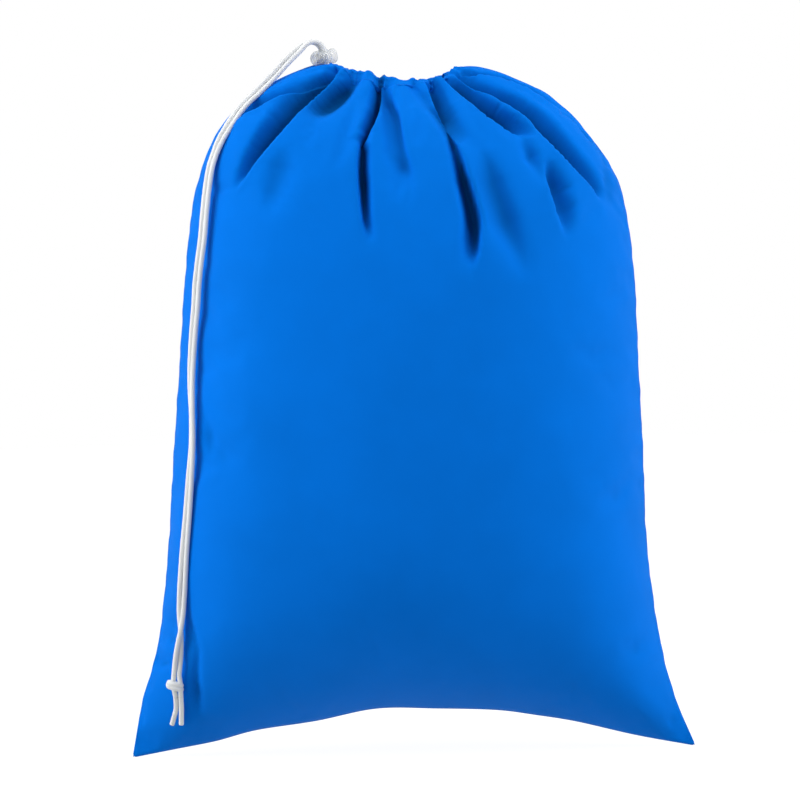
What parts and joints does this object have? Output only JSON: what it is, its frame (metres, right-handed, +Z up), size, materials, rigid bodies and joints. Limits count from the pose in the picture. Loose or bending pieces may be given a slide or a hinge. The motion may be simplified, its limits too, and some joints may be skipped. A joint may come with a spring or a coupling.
{
  "type": "laundry bag",
  "caption": "Stuffed drawstring laundry bag: two cloth panels, a gathered hem casing round the neck, a free double drawcord ending in a knot, and a sprung clear cord lock.",
  "frame": {"origin": "on the ground, midway between the two lower corners that the stuffed bag stands on", "axes": "+Z up to the neck, +X across the front to the viewer's right, -Y towards the front, the side the free cord hangs on"},
  "size_m": [0.738, 0.3336, 0.938],
  "materials": {
    "cloth": "plain weave, satin-smooth, royal blue",
    "seam": "overlocked edge, royal blue",
    "cord": "braided white cord",
    "clear_plastic": "moulded clear plastic, glossy",
    "spring_steel": "bright wire"
  },
  "bodies": {
    "bag": {"front_panel": "cloth", "back_panel": "cloth", "side_seam_left": "seam", "side_seam_right": "seam", "bottom_seam": "seam", "casing_front": "cloth", "casing_back": "cloth", "drawcord_loop": "cord", "cord_strand_front": "cord", "cord_strand_back": "cord", "cord_knot": "cord", "cord_tail_left": "cord", "cord_tail_right": "cord"},
    "lock": {"lock_barrel": "clear_plastic", "lock_spring": "spring_steel"},
    "push_button": {"lock_plunger": "clear_plastic"}
  },
  "joints": [
    {"name": "lock_slide", "type": "slide", "parent": "bag", "child": "lock", "axis": [-0.1703, -0.1193, 0.9781], "range_m": [0, 0.008], "deforming": ["cord_strand_front", "cord_strand_back"]},
    {"name": "button_press", "type": "slide", "parent": "lock", "child": "push_button", "axis": [-0.8013, -0.561, -0.2079], "range_m": [0, 0.005], "stiffness_N_per_m": 500, "springref_m": -0.003, "deforming": ["lock_spring"]}
  ]
}
